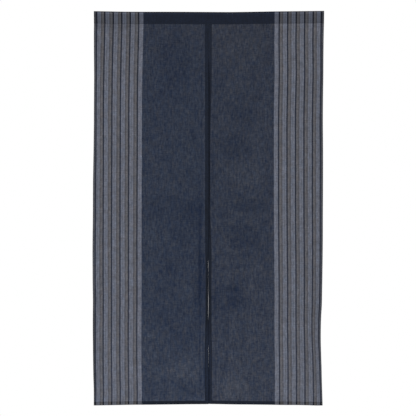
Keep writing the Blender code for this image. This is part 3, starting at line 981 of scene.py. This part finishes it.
def pocket_cloth(name):
    """The pocket across both panels. Its places on the flat cloth are those of each panel's own top."""
    border = fine_lines(0, BORDER, TO_SLIT.step)
    left_places = np.array(border + fine_lines(BORDER, PANEL - BESIDE_SEAM, TO_SLIT.step)[1:] + [PANEL])
    right_places = left_places[::-1]
    left_top = panel_surface(LEFT, left_places, np.zeros_like(left_places))
    right_top = panel_surface(RIGHT, right_places, np.zeros_like(right_places))
    x = np.concatenate((left_top[:, 0], right_top[:, 0]))
    places = np.concatenate((left_places, right_places))
    path = pocket_path()
    runs = np.concatenate(([0.0], np.cumsum(np.hypot(*np.diff(path, axis=0).T))))
    up = np.broadcast_to(runs[:, None], (len(path), len(x)))
    across = np.broadcast_to(x[None, :], up.shape)
    y = np.broadcast_to(path[:, :1], up.shape)
    depth = path[:, 1:]
    slack = ease(runs / STIFF_FOOT) * ease((runs[-1] - runs) / STIFF_EDGE)
    long_seed, front_seed, back_seed = POCKET_SEEDS
    wave = unevenness(across, up * SQUAT, long_seed, POCKET_WAVES)
    wave = wave + puckers(across, up, front_seed) + puckers(across, runs[-1] - up - BACK_PUCKERS, back_seed)
    y = y - np.sign(y) * wave * slack[:, None]
    y = y + SEAM_GROOVE * np.exp(-((across / GROOVE_WIDTH) ** 2)) * (y < ON_FRONT)
    points = np.stack((across, y, top_height(across) - depth), axis=-1)
    flat_places = np.stack((np.broadcast_to(places[None, :], up.shape), -up), axis=-1)
    return cloth_object(name, points, flat_places, np.zeros(up.shape))


def pocket_stitches(name):
    """The stitch line along the pocket's foot, on its front and on its back."""
    ends = [panel_surface(panel, 0.0, 0.0)[0] for panel in (LEFT, RIGHT)]
    x, height = stitch_places(ends[0] + FOOT_START, ends[1] - FOOT_END)
    z = top_height(x) - STITCH_LINE
    lean = (POCKET_DEPTH - STITCH_LINE) * math.tan(WALL_LEAN)
    front = np.stack((x, PANEL_FACE - lean - height, z), axis=-1)
    behind = np.stack((x, BACK_LAYER + height, z), axis=-1)
    to_front = np.broadcast_to(np.array((0.0, -1.0, 0.0)), front.shape)
    return thread_object(name, np.concatenate((front, behind)), np.concatenate((to_front, -to_front)))


SEAM_START = POCKET_DEPTH + 0.002
SEAM_PITCH = 0.0040
SEAM_BITE = 0.0016  # how far a stitch of the seam reaches into each panel
TACK_BITE = 0.0030
TACK_HEIGHT = 0.0032
TACK_PITCH = THREAD * 0.9
INNER_SHARE = 0.6  # of its bite, where a stitch has come up


def seam_stitches(name):
    """Stitches across the two slit edges where the panels are sewn together, and the tack that ends them."""
    tack_start = SEAM_END - TACK_HEIGHT
    rows = [(drop, SEAM_BITE) for drop in np.arange(SEAM_START, tack_start, SEAM_PITCH)]
    rows += [(drop, TACK_BITE) for drop in np.arange(tack_start, SEAM_END, TACK_PITCH)]
    drops, bites = np.array(rows).T
    down = drops - POCKET_DEPTH
    rings, outward = [], []
    for panel, shares in ((LEFT, (1.0, INNER_SHARE)), (RIGHT, (INNER_SHARE, 1.0))):
        for share in shares:
            points, back = face_and_back(panel, PANEL - bites * share, down)
            rise = STITCH_BOW[0].height if share == 1.0 else STITCH_BOW[1].height
            rings.append(points - back * rise)
            outward.append(-back)
    return thread_object(name, np.stack(rings, axis=1), np.stack(outward, axis=1))


pocket = pocket_cloth("rod_pocket_cloth")
pocket.data.materials.append(cotton("Doubled cotton", (-1.0, -1.0), POCKET_LOT, PAINTED_TOP_SHADING))
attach(pocket, "root")
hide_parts("rod_pocket")
foot_stitches = sewn(pocket_stitches("pocket_stitches"))
seam = sewn(seam_stitches("seam_stitches"))


# The floor, the light and the camera. A pale floor well below the curtain, a bright even surround, two
# large soft lamps in front, and a long lens square to the curtain's face.
FLOOR_HEIGHT = -1.9
FLOOR_RADIUS = 2.3
PIXEL = 0.003813  # metres of the curtain's face for each pixel of the picture
PICTURE = 416
MIDDLE_ACROSS = -0.0015
MIDDLE_HEIGHT = -0.7474
CAMERA_DISTANCE = 6.0
SENSOR = 36.0
SURROUND_LIGHT = 0.50
FLOOR_FINISH = {"Base Color": (0.86, 0.86, 0.85, 1.0), "Roughness": 0.7}

middle = (0, 0, FLOOR_HEIGHT)
bpy.ops.mesh.primitive_circle_add(vertices=96, radius=FLOOR_RADIUS, fill_type="NGON", location=middle)
floor = bpy.context.object
floor.name = "floor"
floor_paint = bpy.data.materials.new("Pale floor")
floor_paint.use_nodes = True
for name, value in FLOOR_FINISH.items():
    floor_paint.node_tree.nodes["Principled BSDF"].inputs[name].default_value = value
floor.data.materials.append(floor_paint)

world = bpy.context.scene.world or bpy.data.worlds.new("Surround")
bpy.context.scene.world = world
world.use_nodes = True
world_tree = world.node_tree
surround = world_tree.nodes["Background"]
surround.inputs["Color"].default_value = (1.0, 1.0, 1.0, 1.0)
seen = add_node(world_tree, "LightPath")["Is Camera Ray"]
strength = math_node(world_tree, "MULTIPLY_ADD", seen, 1.0 - SURROUND_LIGHT, SURROUND_LIGHT)
world_tree.links.new(strength, surround.inputs["Strength"])

Lamp = namedtuple("Lamp", "name place size power")
LAMPS = table(Lamp, [
    ("softbox_left", (-3.0, -3.4, 1.2), 2.2, 105.0),
    ("softbox_right", (3.2, -3.6, -0.2), 2.2, 50.0),
])
for lamp in LAMPS:
    light = bpy.data.lights.new(lamp.name, "AREA")
    light.size = lamp.size
    light.energy = lamp.power
    holder = in_scene(lamp.name, light)
    holder.location = lamp.place
    aim = Vector((0, 0, MIDDLE_HEIGHT)) - holder.location
    holder.rotation_euler = aim.to_track_quat("-Z", "Y").to_euler()

lens = bpy.data.cameras.new("camera")
lens.sensor_width = SENSOR
lens.lens = SENSOR * CAMERA_DISTANCE / (PICTURE * PIXEL)
camera = in_scene("camera", lens)
camera.location = (MIDDLE_ACROSS, -CAMERA_DISTANCE, MIDDLE_HEIGHT)
camera.rotation_euler = (math.pi / 2, 0, 0)
bpy.context.scene.camera = camera
bpy.context.scene.view_settings.view_transform = "Standard"
